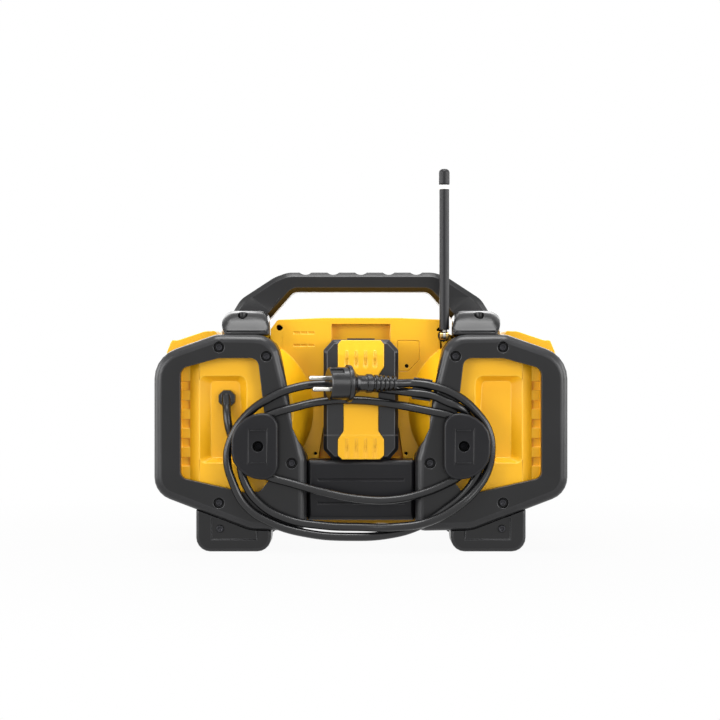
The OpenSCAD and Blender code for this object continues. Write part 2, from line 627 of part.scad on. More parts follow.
// The lead's route: gland, 2.5 turns round the hooks' posts, clip, plug
route = [
    [143.4, 103, 155], [142.6, 107.5, 146], [141, 109.5, 135], [137, 109.5, 121], [130, 109.5, 107],
    [121, 111, 96], [111, 117, 88], [100, 121, 81.5], [75, 121, 74], [40, 121, 64.5],
    [0, 121, 57], [-35, 121, 56.5], [-68, 121, 64], [-92, 121, 74], [-102, 120.8, 79.5],
    [-112, 116, 87], [-121, 111, 98], [-126, 110, 113], [-125, 110.5, 129], [-116, 114, 143.5],
    [-105, 121, 153], [-88, 121, 161], [-75.2, 120.2, 166.4], [-52.8, 118.8, 169.6], [-30, 113, 172.5],
    [5, 112.5, 176.5], [40, 113, 178.5], [70, 120.5, 174.5], [98, 121, 163], [122, 121, 144.5],
    [137, 121, 121], [141.5, 121, 99], [136, 121, 76], [121, 121, 49], [94, 121, 31.5],
    [56, 121, 20.5], [10, 121, 17], [-30, 121, 19.5], [-60, 121, 28], [-88, 121, 45],
    [-110, 121, 63.5], [-122.5, 121, 83], [-127.5, 121, 101], [-125, 121, 119], [-114, 121, 136],
    [-96, 121, 144.5], [-70, 120.6, 150.5], [-35, 113.5, 157], [10, 112.5, 161.5], [45, 114, 159.5],
    [70, 120.6, 154], [94, 121, 147], [114, 121, 136.5], [125.5, 121, 120], [127.5, 121, 100],
    [123.5, 121, 76], [108, 121, 53], [80, 121, 36.5], [40, 121, 29], [0, 122, 27.5],
    [-35, 129, 28], [-70, 131, 33.5], [-102, 131, 50], [-123, 125, 69], [-134, 121, 87],
    [-138, 121, 108], [-135, 121, 129], [-122, 121, 149], [-102, 121, 166], [-75.9, 120.2, 176.5],
    [-53.7, 118.8, 179.6], [-44, 122.1, 179.4], [-36.3, 124.4, 179.4]
];
sides = 8;
count = len(route);
function heading(i) = unit(route[min(i + 1, count - 1)] - route[max(i - 1, 0)]);
function ring(i) =
    let (t = heading(i), a = unit(cross(t, [0, 1, 0])), b = cross(t, a))
    [for (k = [0:sides - 1]) route[i] + cord_r * (cos(k * 360 / sides) * a + sin(k * 360 / sides) * b)];
module power_cord() color(black) polyhedron(
    points = [for (i = [0:count - 1]) each ring(i)],
    faces = concat(
        [[for (k = [0:sides - 1]) k]],
        [for (i = [0:count - 2], k = [0:sides - 1])
            let (n = (k + 1) % sides, p = i * sides, q = p + sides) [p + k, q + k, q + n, p + n]],
        [[for (k = [sides - 1:-1:0]) (count - 1) * sides + k]]
    )
);
gland_exit = route[0];
gland_dir = unit(route[1] - route[0]);
module toward(p, d) translate(p) rotate([0, acos(d[2]), atan2(d[1], d[0])]) children();
module cord_gland() color(black) difference() {
    union() {
        along_y(gland_x, gland_z, dish_y - 7, dish_y + 6, 7 - gap);
        translate([gland_x, dish_y, gland_z]) rotate([-90, 22.5, 0])
            cylinder(h = 6, r1 = 10.2, r2 = 9.4, $fn = 8);
        toward(gland_exit, -gland_dir) cylinder(h = 12, r1 = cord_r + 0.4, r2 = cord_r + 1);
    }
    slab(dish_y - 20, dish_y) translate([gland_x - 20, gland_z - 40]) difference() {
        square(40 + 20);
        translate([20, 40]) circle(7 - gap);
    }
}
module plug_place()
    translate(plug_face) rotate([0, 0, plug_tilt]) rotate([plug_roll, 0, 0]) rotate([0, -90, 0]) children();
plug_profile = [
    [0, 0], [16, 0], [17.3, 1.5], [17.3, 19], [19.6, 20], [19.6, 23.5], [16, 26], [11, 29], [8.8, 33],
    [8.6, 40], [10, 41.5], [10, 46.5], [8.6, 48]
];
rib_pitch = 5;
module plug_body() color(black) plug_place() difference() {
    rotate_extrude() polygon(concat(
        plug_profile,
        [for (i = [0:4], step = [0:3])
            [(step < 2 ? 7.4 : 9.2) - i * 0.35, 48 + rib_pitch * i + [0, 2, 2, rib_pitch][step]]],
        [[6, plug_l], [0, plug_l]]
    ));
    for (y = [-9.5, 9.5]) translate([0, y, -1]) cylinder(h = 13, r = pin_hole_r);
    for (x = [-1, 1]) translate([x < 0 ? -19 : 15, -4, -1]) cube([4, 8, 15]);
}
pin_hole_r = 2.4 + 0.02;
module plug_pins() color(steel) plug_place() for (y = [-9.5, 9.5]) translate([0, y, -19])
    rotate_extrude() polygon([[0, 0], [1.6, 0], [2.4, 1.2], [2.4, 30], [0, 30]]);
clip_a = [-75.2, 120.2, 166.4];
clip_b = [-52.8, 118.8, 169.6];
clip_c = [-53.7, 118.8, 179.6];
clip_d = [-75.9, 120.2, 176.5];
module cord_bore(p, q, r) toward(p - unit(q - p) * 3, unit(q - p)) cylinder(h = norm(q - p) + 6, r = r);
module cord_clip() color(black) difference() {
    union() {
        toward((clip_a + clip_d) / 2 , unit(clip_b - clip_a)) translate([-5, -6.4, 1]) cube([10, 12.8, 20]);
        toward(clip_a, unit(clip_b - clip_a)) translate([0, 0, 1]) cylinder(h = 20, r = cord_r + 2);
        toward(clip_d, unit(clip_c - clip_d)) translate([0, 0, 1]) cylinder(h = 20, r = cord_r + 2);
    }
    cord_bore(clip_a, clip_b, cord_r + gap);
    cord_bore(clip_d, clip_c, cord_r + gap);
    translate([-90, 121.6, 150]) cube([60, 12, 50]);
}

// ---- Speakers and grilles, drawn for +X
hole_r = 3.4;
module speaker_grille(s) side(s) color(black) slab(grille_y - grille_t, grille_y) difference() {
    outline(window_points, 5);
    intersection() {
        outline(window_points, -3);
        translate([speaker_x, speaker_z])
            for (i = [-10:10], j = [-12:12])
                translate([(i + (j % 2) / 2) * grille_pitch, j * grille_pitch * 0.866])
                    circle(r = hole_r, $fn = 6);
    }
}
flange_r = speaker_d / 2;
cone_r = flange_r - 8;
magnet_r = flange_r * 0.56;
module about_speaker()
    translate([speaker_x, front_face_y - flange_t, speaker_z])
        rotate([-90, 0, 0]) rotate_extrude() children();
module speaker_basket(s) side(s) color(black) about_speaker() polygon([
    [cone_r + 3.4, 0], [flange_r, 0], [flange_r, flange_t], [flange_r - 5 - gap, flange_t],
    [flange_r - 5 - gap, 8], [magnet_r, speaker_depth - 18], [magnet_r, speaker_depth], [0, speaker_depth],
    [0, speaker_depth - 18], [magnet_r - 6, speaker_depth - 20], [cone_r + 1, 7], [cone_r + 1, 3],
    [cone_r + 3.4, 3]
]);
module speaker_cone(s) side(s) color("#1C1C1E") about_speaker() polygon([
    [cone_r + 0.8, 2.6], [cone_r + 3.2, 2.6], [cone_r + 3.2, 0.8], [cone_r + 1, -0.8], [cone_r - 2, -0.4],
    [cone_r - 4, 1.6], [14, 20], [12, 16.5], [7, 14.2], [0, 13.4], [0, 15], [6.6, 15.8], [11, 18],
    [13.2, 22], [cone_r - 4, 3.4], [cone_r - 2, 1.6]
]);

// ---- Controls in the middle of the front
panel_t = 13;
panel_front_y = centre_front_y - panel_t;
face_t = 3;
inner_y = panel_front_y + face_t;                        // rear side of the control panel's face
display_z = 196;
button_w = 18;
button_h = 9;
preset_z = 160;
action_z = 141;
knob_z = 106;
knob_x = 31;
shaft_r = 3;
port_w = 52;
port_h = 24;
port_z = 62;
door_pin_z = port_z + port_h / 2 - 3;
door_pin_y = panel_front_y + 2.6;
door_thick = 3;
preset_x = [-36, -12, 12, 36];
action_x = [-13, 13];
module button_at(x, z) color("#55575A") translate([x, 0, z]) {
    bevelled_button();
    plate(inner_y + gap, inner_y + 2, 0, 0, button_w + 2, button_h + 2);
}
module bevelled_button() mirror([0, 1, 0])
    bevelled(rectangle(button_w, button_h, 2), -inner_y - 0.4, -panel_front_y + 2.2, 0.8);
module control_panel() color(black) difference() {
    mirror([0, 1, 0]) {
        bevelled(front_panel_points, -centre_front_y, -panel_front_y, 2);
        bevelled(lower_panel_points, -centre_front_y, -panel_front_y, 2);
    }
    slab(inner_y, centre_front_y + 1) offset(delta = -face_t) {
        polygon(rounded(front_panel_points));
        polygon(rounded(lower_panel_points));
    }
    plate(panel_front_y - 1, panel_front_y + 2, 0, display_z, display_w + 2 * gap, display_h + 2 * gap);
    plate(panel_front_y, inner_y + 1, 0, display_z, display_w - 6, display_h - 6);
    for (x = preset_x) plate(panel_front_y - 1, inner_y + 1, x, preset_z, button_w + 0.7, button_h + 0.7);
    for (x = action_x) plate(panel_front_y - 1, inner_y + 1, x, action_z, button_w + 0.7, button_h + 0.7);
    for (s = [-1, 1]) along_y(s * knob_x, knob_z, panel_front_y - 1, inner_y + 1, 4.5 + gap);
    plate(panel_front_y - 1, inner_y + 1, 0, port_z, port_w + 2 * gap, port_h + 2 * gap);
    along_x(port_w / 2 + 3, door_pin_y, door_pin_z, pin_r + run);
}
module display_window() color("#3B4A4E")
    plate(panel_front_y + 0.2, panel_front_y + 2, 0, display_z, display_w, display_h);
module display_module() {
    color("#8FA08A") plate(inner_y + gap, inner_y + 4, 0, display_z, display_w + 4, display_h + 4);
    color(board_green) plate(inner_y + 4 - tiny, inner_y + 5.6, 0, display_z, display_w + 6, display_h + 8);
}
board_y = inner_y + 2 + button_travel + 4.2;
board_t = 1.6;
module control_board() {
    color(board_green)
        plate(board_y, board_y + board_t, 0, (preset_z + knob_z) / 2 - 1, 92, preset_z - knob_z + 26);
    color(black) {
        for (x = preset_x) plate(board_y - 4, board_y + tiny, x, preset_z, 6, 6);
        for (x = action_x) plate(board_y - 4, board_y + tiny, x, action_z, 6, 6);
    }
}
module rotary_encoders() for (s = [-1, 1]) translate([s * knob_x, 0, knob_z]) color(steel) {
    plate(inner_y + 0.5, board_y, 0, 0, 13, 13);
    along_y(0, 0, panel_front_y - 2, inner_y + 1, 4.5);
    along_y(0, 0, panel_front_y - 13, inner_y + 1, shaft_r);
}
knob_l = 14.4;
knob_profile = [
    [0, 0, 0], [knob_d / 2 - 2, 0, 3], [knob_d / 2 - 1, 11, 0], [knob_d / 2, 11.5, 0],
    [knob_d / 2, knob_l, 0], [0, knob_l, 0]
];
module knob(x) color(black) translate([x, panel_front_y - 17, knob_z]) rotate([-90, 0, 0]) difference() {
    rotate_extrude() polygon(rounded(knob_profile));
    for (i = [0:17]) rotate(i * 20) translate([knob_d / 2 - 0.4, 0, -1]) cylinder(h = 12, r = 1.2);
    translate([0, 0, 3.5]) cylinder(h = 20, r = shaft_r + run);
    translate([0, 0, knob_l - 2]) cylinder(h = 20, r = 6);
    translate([-0.8, knob_d / 2 - 9, -1]) cube([1.6, 6, 2]);
}
module port_door() color(rubber) {
    slab(panel_front_y + 0.4, panel_front_y + 0.4 + door_thick)
        translate([-port_w / 2 + gap, port_z - port_h / 2 + gap])
            square([port_w - 2 * gap, door_pin_z - port_z + port_h / 2 - gap]);
    along_x(port_w / 2 - gap, door_pin_y, door_pin_z, 2.1);
    along_x(port_w / 2 + 2, door_pin_y, door_pin_z, pin_r);
    translate([-8, panel_front_y - 0.8, port_z - port_h / 2 + 1.5]) cube([16, 2, 2]);
}
module port_block() color("#1C1C1E") difference() {
    plate(inner_y + 2.5, centre_front_y + 8, 0, port_z, 44, 18);
    plate(inner_y + 2, inner_y + 12, -9, port_z, 13, 5.6);
    along_y(12, port_z, inner_y + 2, inner_y + 14, 1.8);
}

// ---- Boards inside
main_board_y = centre_front_y + 16 + gap;
module main_board() translate([0, main_board_y, 0]) {
    color(board_green) difference() {
        plate(0, board_t, 0, 156, 140, 104);
        for (x = [-62, 62], z = [112, 200]) along_y(x, z, -1, board_t + 1, 1.6);
    }
    color(steel) {
        for (i = [0:5]) translate([-30 + 12 * i, board_t - tiny, 130]) cube([2, 22, 50]);
        translate([-32, board_t - tiny, 130]) cube([64, 3, 50]);
    }
    color(black) for (x = [-54, 46]) along_y(x, 176, board_t - tiny, board_t + 18, 7);
}

front_housing();
rear_housing();
rear_bumper(-1);  // left_rear_bumper
rear_bumper(1);  // right_rear_bumper
front_bumper(-1);  // left_front_bumper
front_bumper(1);  // right_front_bumper
top_rail(-1);  // left_top_rail
top_rail(1);  // right_top_rail
handle();
lower_rear_panel();
foot(-1, true);  // left_rear_foot
foot(1, true);  // right_rear_foot
foot(-1, false);  // left_front_foot
foot(1, false);  // right_front_foot
hook(-1);  // left_cord_hook
hook(1);  // right_cord_hook
cord_hook_screws();
rear_bumper_screws();
front_bumper_screws();
housing_screws();
small_screws();
battery_case();
battery_cover();
battery_latch();
battery_cells();
bay_terminal_block();
coin_cell_door();
coin_cell();
cord_gland();
power_cord();
plug_body();
plug_pins();
cord_clip();
antenna_base();
antenna_knuckle();
antenna_rod();
antenna_sleeve();
antenna_cap();
speaker_grille(-1);  // left_speaker_grille
speaker_grille(1);  // right_speaker_grille
speaker_basket(-1);  // left_speaker_basket
speaker_basket(1);  // right_speaker_basket
speaker_cone(-1);  // left_speaker_cone
speaker_cone(1);  // right_speaker_cone
control_panel();
display_window();
display_module();
control_board();
rotary_encoders();
knob(-knob_x);  // volume_knob
knob(knob_x);  // tuning_knob
button_at(action_x[0], action_z);  // power_button
button_at(action_x[1], action_z);  // source_button
button_at(preset_x[0], preset_z);  // preset_1_button
button_at(preset_x[1], preset_z);  // preset_2_button
button_at(preset_x[2], preset_z);  // preset_3_button
button_at(preset_x[3], preset_z);  // preset_4_button
port_door();
port_block();
main_board();
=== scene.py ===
# Jobsite radio: a yellow two-shell housing between four black corner bumpers, with a handle, a slide-on
# battery, a folding antenna and a mains lead wound on two hooks. Metres, +Z up, the battery faces +Y.
import json
from math import copysign, cos, exp, pi, radians, sin

import bmesh
import bpy
from mathutils import Matrix, Vector
from mathutils.geometry import convex_hull_2d
from mathutils.kdtree import KDTree

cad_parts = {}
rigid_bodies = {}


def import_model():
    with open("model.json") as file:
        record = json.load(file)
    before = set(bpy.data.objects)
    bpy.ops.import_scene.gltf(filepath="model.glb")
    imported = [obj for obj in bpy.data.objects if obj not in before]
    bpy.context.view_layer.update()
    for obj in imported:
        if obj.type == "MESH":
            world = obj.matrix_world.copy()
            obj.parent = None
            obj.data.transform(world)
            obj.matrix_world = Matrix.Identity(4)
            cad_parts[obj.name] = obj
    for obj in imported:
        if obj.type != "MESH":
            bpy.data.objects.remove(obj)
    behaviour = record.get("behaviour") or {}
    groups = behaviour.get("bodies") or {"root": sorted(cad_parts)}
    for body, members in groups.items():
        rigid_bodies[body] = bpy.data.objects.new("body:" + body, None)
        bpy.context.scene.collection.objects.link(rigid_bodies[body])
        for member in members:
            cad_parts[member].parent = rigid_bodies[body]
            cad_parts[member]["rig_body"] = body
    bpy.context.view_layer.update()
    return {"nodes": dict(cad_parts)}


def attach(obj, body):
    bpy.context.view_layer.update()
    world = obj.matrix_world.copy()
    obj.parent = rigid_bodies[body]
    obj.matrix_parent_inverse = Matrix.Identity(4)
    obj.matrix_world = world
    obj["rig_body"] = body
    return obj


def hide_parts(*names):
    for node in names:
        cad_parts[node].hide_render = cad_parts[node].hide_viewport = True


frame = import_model()

# Camera: a long lens straight behind the radio, level with the top of the battery bay, so that both bumper
# rings stand square to the lens and the deck and the feet are seen edge on.
camera_data = bpy.data.cameras.new("rear_camera")
camera_data.lens = 89.6
camera_data.sensor_width = 36
camera_data.clip_end = 50
camera = bpy.data.objects.new("rear_camera", camera_data)
camera.location = (0.001, 2.016, 0.204)
camera.rotation_euler = (radians(90), 0, radians(180))
bpy.context.scene.collection.objects.link(camera)
bpy.context.scene.camera = camera

# Mains lead: 1.85 m of black sheathed flex, 9 mm thick. It leaves the gland in the pod's recess, is wound
# two and a half turns round the hooks' posts, and ends in a clip and a two-pin earthed plug.
MM = 0.001
COLOUR_A, COLOUR_B, COLOUR_OUT = 6, 7, 2  # a Mix node's colour sockets, whose names its other sockets share


def linear(hex_code):
    """The linear RGBA of an sRGB hex colour."""
    channels = [int(hex_code[i:i + 2], 16) / 255 for i in (0, 2, 4)]
    return [c / 12.92 if c <= 0.04045 else ((c + 0.055) / 1.055) ** 2.4 for c in channels] + [1]


def add_node(tree, kind, links=(), **settings):
    """Adds a shader node; links gives its input sockets a value or another node's output."""
    node = tree.nodes.new("ShaderNode" + kind)
    for name, value in settings.items():
        setattr(node, name, value)
    for name, value in dict(links).items():
        if isinstance(value, bpy.types.NodeSocket):
            tree.links.new(value, node.inputs[name])
        else:
            node.inputs[name].default_value = value
    return node


def new_material(name):
    """A new material, its node tree and the shader in it."""
    material = bpy.data.materials.new(name)
    material.use_nodes = True
    return material, material.node_tree, material.node_tree.nodes["Principled BSDF"]


def lead_in(tree, surface, tone, gloss, bump):
    """Leads a tone, a gloss and a bump into a shader."""
    for socket, output in (("Base Color", tone), ("Roughness", gloss), ("Normal", bump)):
        tree.links.new(output, surface.inputs[socket])


def moulded(name, hex_codes, patch_mm, grain_mm, grain_depth_mm, roughness, edge_wear_and_highlight_hex=None, **shader):
    """A moulded or extruded plastic or rubber, or a coat on one: tone and gloss drift over patches of
    patch_mm, the surface has a grain of grain_mm, and rounded edges (the attribute "edge") are painted paler
    towards the edge colour, partly as rubbed wear and partly as a painted highlight along them. A real grain
    is 0.1 to 0.2 mm wide and wouldn't show, so it is drawn coarser."""
    material, tree, surface = new_material(name)
    gloss_drift = 0.07
    place = add_node(tree, "TexCoord").outputs["Object"]
    patches = add_node(tree, "TexNoise", {"Vector": place, "Scale": 1 / (patch_mm * MM), "Detail": 4,
                                          "Roughness": 0.6}).outputs["Fac"]
    grain = add_node(tree, "TexNoise", {"Vector": place, "Scale": 1 / (grain_mm * MM),
                                        "Detail": 2}).outputs["Fac"]
    first, second = linear(hex_codes[0]), linear(hex_codes[1])
    tone = add_node(tree, "Mix", {"Factor": patches, COLOUR_A: first, COLOUR_B: second},
                    data_type="RGBA").outputs[COLOUR_OUT]
    # Rounded edges are painted paler towards the edge colour: partly rubbed wear, partly a painted highlight.
    if edge_wear_and_highlight_hex:
        edge = add_node(tree, "Attribute", attribute_name="edge").outputs["Fac"]
        rubbed_and_lit = add_node(tree, "Math", {0: edge, 1: patches}, operation="MULTIPLY").outputs[0]
        tone = add_node(tree, "Mix", {"Factor": rubbed_and_lit, COLOUR_A: tone, COLOUR_B: linear(edge_wear_and_highlight_hex)},
                        data_type="RGBA").outputs[COLOUR_OUT]
    gloss = add_node(tree, "MapRange", {"Value": patches, "To Min": roughness - gloss_drift,
                                        "To Max": roughness + gloss_drift}).outputs[0]
    bump = add_node(tree, "Bump", {"Height": grain, "Distance": grain_depth_mm * MM,
                                   "Strength": 1}).outputs[0]
    lead_in(tree, surface, tone, gloss, bump)
    for socket, value in shader.items():
        surface.inputs[socket.replace("_", " ")].default_value = value
    return material


def show(name, shape, material, slot, body, *nodes):
    """Links a finished mesh or curve as a piece that rides on a body and stands for CAD nodes."""
    shape.materials.clear()
    shape.materials.append(material)
    piece = bpy.data.objects.new(name, shape)
    bpy.context.scene.collection.objects.link(piece)
    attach(piece, body)
    if nodes:
        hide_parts(*nodes)
    return piece


# Sheath rubber, extruded: black and satin, so that the lead shows one long, soft, slightly wavering gleam.
flex_rubber = moulded("extruded_flex_rubber", ("0D0D0E", "141416"), patch_mm=30, grain_mm=1.1,
                      grain_depth_mm=0.006, roughness=0.26)
CORD_DIAMETER = 9 * MM
cord_route_mm = [
    [143.4, 103, 155], [142.6, 107.5, 146], [141, 109.5, 135], [137, 109.5, 121], [130, 109.5, 107],
    [121, 111, 96], [111, 117, 88], [100, 121, 81.5], [75, 121, 74], [40, 121, 64.5],
    [0, 121, 57], [-35, 121, 56.5], [-68, 121, 64], [-92, 121, 74], [-102, 120.8, 79.5],
    [-112, 116, 87], [-121, 111, 98], [-126, 110, 113], [-125, 110.5, 129], [-116, 114, 143.5],
    [-105, 121, 153], [-88, 121, 161], [-75.2, 120.2, 166.4], [-52.8, 118.8, 169.6], [-30, 113, 172.5],
    [5, 112.5, 176.5], [40, 113, 178.5], [70, 120.5, 174.5], [98, 121, 163], [122, 121, 144.5],
    [137, 121, 121], [141.5, 121, 99], [136, 121, 76], [121, 121, 49], [94, 121, 31.5],
    [56, 121, 20.5], [10, 121, 17], [-30, 121, 19.5], [-60, 121, 28], [-88, 121, 45],
    [-110, 121, 63.5], [-122.5, 121, 83], [-127.5, 121, 101], [-125, 121, 119], [-114, 121, 136],
    [-96, 121, 144.5], [-70, 120.6, 150.5], [-35, 113.5, 157], [10, 112.5, 161.5], [45, 114, 159.5],
    [70, 120.6, 154], [94, 121, 147], [114, 121, 136.5], [125.5, 121, 120], [127.5, 121, 100],
    [123.5, 121, 76], [108, 121, 53], [80, 121, 36.5], [40, 121, 29], [0, 122, 27.5],
    [-35, 129, 28], [-70, 131, 33.5], [-102, 131, 50], [-123, 125, 69], [-134, 121, 87],
    [-138, 121, 108], [-135, 121, 129], [-122, 121, 149], [-102, 121, 166], [-75.9, 120.2, 176.5],
    [-53.7, 118.8, 179.6], [-44, 122.1, 179.4], [-36.3, 124.4, 179.4]
]
cord_curve = bpy.data.curves.new("mains_lead", "CURVE")
cord_curve.dimensions = "3D"
cord_curve.bevel_depth = CORD_DIAMETER / 2
cord_curve.bevel_resolution = 5
cord_curve.resolution_u = 8
cord_curve.use_fill_caps = True
cord_spline = cord_curve.splines.new("BEZIER")
cord_spline.bezier_points.add(len(cord_route_mm) - 1)
for point, place in zip(cord_spline.bezier_points, cord_route_mm):
    point.co = Vector(place) * MM
    point.handle_left_type = point.handle_right_type = "AUTO"
mains_lead = show("mains_lead", cord_curve, flex_rubber, "cable_rubber", "housing", "power_cord")

# Plug, gland and clip: the plug is moulded straight onto the lead in black rubber, with a ribbed bend
# relief and two nickel-plated round pins. The gland is a rubber bush, and the clip grips two turns.
cad_nodes = frame["nodes"]
WELD = 0.001 * MM
CREASE_DEG = 28  # an edge that turns more than this is rounded


def rounded(bm, bevel_mm, segments=2, crease_deg=CREASE_DEG):
    """Rounds a mesh's creases by bevel_mm and marks the rounding "edge". Where it would run far from its
    corner, in a sliver of a face, it is drawn back to the corner."""
    wear_and_highlight = bm.faces.layers.float.get("edge") or bm.faces.layers.float.new("edge")
    if not bevel_mm:
        return
    farthest = 4 * bevel_mm * MM
    corners = KDTree(len(bm.verts))
    for index, v in enumerate(bm.verts):
        corners.insert(v.co, index)
    corners.balance()
    creases = [e for e in bm.edges if e.is_manifold and e.calc_face_angle(0) > radians(crease_deg)]
    made = bmesh.ops.bevel(bm, geom=creases, offset=bevel_mm * MM, offset_type="OFFSET", affect="EDGES",
                           segments=segments, profile=0.5, material=-1, clamp_overlap=False)
    # The rounding's faces are marked to be painted paler: a painted highlight along each edge as well as
    # wear.
    for face in made["faces"]:
        face[wear_and_highlight] = 1
    for v in bm.verts:
        corner, index, distance = corners.find(v.co)
        if distance > farthest:
            v.co = corner


def unfolded(bm):
    """Clears what a drawn-back rounding leaves: doubled points, faces with no area, flaps and small holes."""
    bmesh.ops.remove_doubles(bm, verts=bm.verts, dist=WELD)
    bmesh.ops.dissolve_degenerate(bm, edges=bm.edges, dist=WELD)
    for turn in range(2):
        flaps = [f for f in bm.faces if any(e.is_boundary for e in f.edges)
                 and any(len(e.link_faces) > 2 for e in f.edges)]
        bmesh.ops.delete(bm, geom=flaps, context="FACES")
    bmesh.ops.holes_fill(bm, edges=[e for e in bm.edges if e.is_boundary], sides=6)


def shaded(name, bm):
    """The mesh of a bmesh, shaded smooth between its sharp edges."""
    mesh = bpy.data.meshes.new(name)
    bm.to_mesh(mesh)
    bm.free()
    mesh.shade_smooth()
    mesh.set_sharp_from_angle(angle=radians(35))
    return mesh


def finished(name, material, slot, bevel_mm=0.5, segments=2, shape=None, crease_deg=CREASE_DEG):
    """The piece that stands for a CAD node: the node's mesh, merged and cleared of the edges inside its
    flat faces, worked on by the function shape, if there is one, and rounded by bevel_mm."""
    source = cad_nodes[name]
    bm = bmesh.new()
    bm.from_mesh(source.data)
    bmesh.ops.remove_doubles(bm, verts=bm.verts, dist=WELD)
    bmesh.ops.dissolve_degenerate(bm, edges=bm.edges, dist=0.2 * MM)
    bmesh.ops.dissolve_limit(bm, angle_limit=radians(0.5), verts=bm.verts, edges=bm.edges)
    if shape:
        shape(bm)
    bmesh.ops.triangulate(bm, faces=bm.faces)
    rounded(bm, bevel_mm, segments, crease_deg)
    unfolded(bm)
    piece = show(name + "_piece", shaded(name, bm), material, slot, source["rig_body"], name)
    piece.modifiers.new("even_shading", "WEIGHTED_NORMAL").keep_sharp = True
    return piece


def metal(name, hex_code, roughness, mark_mm):
    """A plated, pressed or turned metal: a faint bloom and fine marks of mark_mm break its gloss. Real
    marks are about 0.05 mm wide, and are drawn coarser so that they show."""
    material, tree, surface = new_material(name)
    bloom_mm, mark_depth_mm, bloom_shade, smear = 6, 0.01, 0.72, 0.12
    place = add_node(tree, "TexCoord").outputs["Object"]
    bloom = add_node(tree, "TexNoise", {"Vector": place, "Scale": 1 / (bloom_mm * MM),
                                        "Detail": 5}).outputs["Fac"]
    marks = add_node(tree, "TexNoise", {"Vector": place, "Scale": 1 / (mark_mm * MM),
                                        "Detail": 2}).outputs["Fac"]
    clean = linear(hex_code)
    dull = [c * bloom_shade for c in clean[:3]] + [1]
    tone = add_node(tree, "Mix", {"Factor": bloom, COLOUR_A: clean, COLOUR_B: dull},
                    data_type="RGBA").outputs[COLOUR_OUT]
    gloss = add_node(tree, "MapRange", {"Value": bloom, "To Min": roughness - smear / 2,
                                        "To Max": roughness + smear}).outputs[0]
    bump = add_node(tree, "Bump", {"Height": marks, "Distance": mark_depth_mm * MM}).outputs[0]
    lead_in(tree, surface, tone, gloss, bump)
    surface.inputs["Metallic"].default_value = 1
    return material


# Nickel on brass: a pale, slightly warm mirror that handling has softened.
nickel = metal("nickel_plated_brass", "C9C7C0", roughness=0.22, mark_mm=0.4)
# Plug rubber, from a polished tool: a shade glossier than the lead, and greyer along its ribs and corners.
plug_rubber = moulded("moulded_plug_rubber", ("0E0E10", "131315"), patch_mm=12, grain_mm=0.5,
                      grain_depth_mm=0.003, roughness=0.24, edge_wear_and_highlight_hex="222224")
plug_body = finished("plug_body", plug_rubber, "cable_rubber", bevel_mm=0.35)
plug_pins = finished("plug_pins", nickel, "nickel", bevel_mm=0)
cord_clip = finished("cord_clip", plug_rubber, "black_plastic", bevel_mm=0.5)
cord_gland = finished("cord_gland", plug_rubber, "cable_rubber", bevel_mm=0.4)


# Housing shells: injection-moulded ABS, screwed together from the rear. The deck runs out to the rails in
# soft corners, and the shoulders behind the bumpers fall away a little.
def ramp(value, start, end):
    """0 up to start, 1 from end, and an even curve between them."""
    share = min(max((value - start) / (end - start), 0), 1)
    return share * share * (3 - 2 * share)


def shouldered(bm):
    """Carries the top of the deck's ends out to the rails, and lowers the shoulders beyond the rails."""
    spread_mm, drop_mm, rail_x = 6, 5.5, 104
    for v in bm.verts:
        x, z = abs(v.co.x) / MM, v.co.z / MM
        deck_end = ramp(x, 66, 80) if x < rail_x else 0
        v.co.x += copysign(spread_mm * ramp(z, 235, 243) * deck_end * MM, v.co.x)
        shoulder = ramp(x, 152, 164) * (1 - ramp(x, 200, 214))
        v.co.z -= drop_mm * MM * ramp(z, 224, 232) * shoulder


def made_mesh(name, bm, material, slot, body, bevel_mm=0):
    """Rounds a shape made here by bevel_mm and shows it as a piece that rides on a body."""
    rounded(bm, bevel_mm)
    bmesh.ops.recalc_face_normals(bm, faces=bm.faces)
    return show(name, shaded(name, bm), material, slot, body)


def deck_corner(side):
    """Carries the deck's rear face out to the rail on one side, round a screw's bore. On +X, where the
    rail's foot stands free, it also closes the gap below the bore."""
    face_y, inner_y, front_y = 62.1, 61.75, 0
    inner_x, bore_x, bore_z, bore_radius = 78, 88.6, 239.6, 3.5
    bm = bmesh.new()

    def point(x, z, y=face_y):
        return bm.verts.new(Vector((side * x, y, z)) * MM)
    bore = [point(bore_x + bore_radius * cos(radians(turn)), bore_z + bore_radius * sin(radians(turn)))
            for turn in range(0, 360, 15)]
    half = len(bore) // 2
    inner, outer = point(inner_x, bore_z, inner_y), point(96.9, bore_z)
    upper = [inner, point(inner_x, 247.6, inner_y), point(91.6, 246.8), outer] + bore[:half + 1]
    halves = [bm.faces.new(upper)]
    if side == 1:
        lower = [point(98.5, 237.5), point(98.5, 216), point(inner_x, 216, inner_y)]
        halves.append(bm.faces.new([inner] + bore[half:] + [bore[0], outer] + lower))
    for v in bmesh.ops.extrude_face_region(bm, geom=halves)["geom"]:
        if isinstance(v, bmesh.types.BMVert):
            v.co.y = front_y
    made_mesh("deck_corner", bm, yellow_abs, "yellow_abs", "housing")


# ABS in safety yellow, from a spark-eroded tool: a strong, even yellow with a satin sheen and paler edges.
yellow_abs = moulded("moulded_yellow_abs", ("FDBE1A", "F9B714"), patch_mm=55, grain_mm=0.9,
                     grain_depth_mm=0.012, roughness=0.38, edge_wear_and_highlight_hex="FFCB40")
for side in (1, -1):
    deck_corner(side)
for name in ("rear_housing", "front_housing"):
    finished(name, yellow_abs, "yellow_abs", bevel_mm=0.7, shape=shouldered)
finished("coin_cell_door", yellow_abs, "yellow_abs", bevel_mm=0.3)


